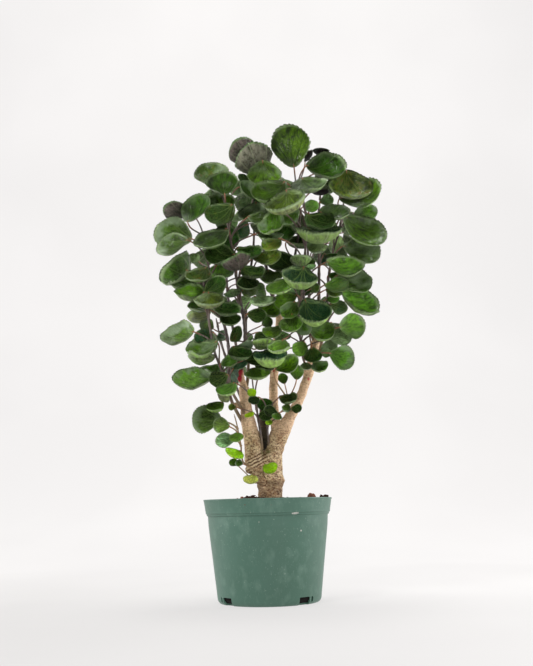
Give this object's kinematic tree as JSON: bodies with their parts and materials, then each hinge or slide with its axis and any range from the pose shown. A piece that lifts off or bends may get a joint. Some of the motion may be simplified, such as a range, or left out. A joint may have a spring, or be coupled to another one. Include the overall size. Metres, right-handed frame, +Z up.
{
  "type": "bonsai tree in a nursery pot",
  "caption": "Small tree with a stout forked bole, pruned limbs, thin upright stems and round cupped leaves on long stalks, growing in soil in a tapered plastic nursery pot.",
  "frame": {"origin": "centre of the pot's flat underside", "axes": "+Z up along the pot's axis, -Y towards the viewer of the picture, +X to that viewer's right"},
  "size_m": [0.3889, 0.3702, 0.7707],
  "materials": {
    "pot": "satin, thin moulded nursery pot",
    "soil": "rough, dark potting mix with bark chips",
    "bark": "rough, tan, ringed and flecked bark",
    "leaf": "glossy, waxy green blades with dark brown stems"
  },
  "bodies": {
    "root": {"pot": "pot", "soil": "soil", "trunk": "bark", "leafy_stem_left_outer": "leaf", "leafy_stem_left_low": "leaf", "leafy_stem_left_top": "leaf", "leafy_stem_middle": "leaf", "leafy_stem_right_top": "leaf", "leafy_stem_right_outer": "leaf", "leafy_stem_right_low": "leaf", "leafy_stem_back_low_left": "leaf", "leafy_stem_back_low_right": "leaf", "leafy_stem_sprout_left": "leaf", "leafy_stem_sprout_base": "leaf", "leafy_stem_sprout_front": "leaf", "leafy_stem_sprout_fork": "leaf", "leafy_stem_sprout_heart": "leaf", "leafy_stem_sprout_right": "leaf"}
  },
  "joints": []
}
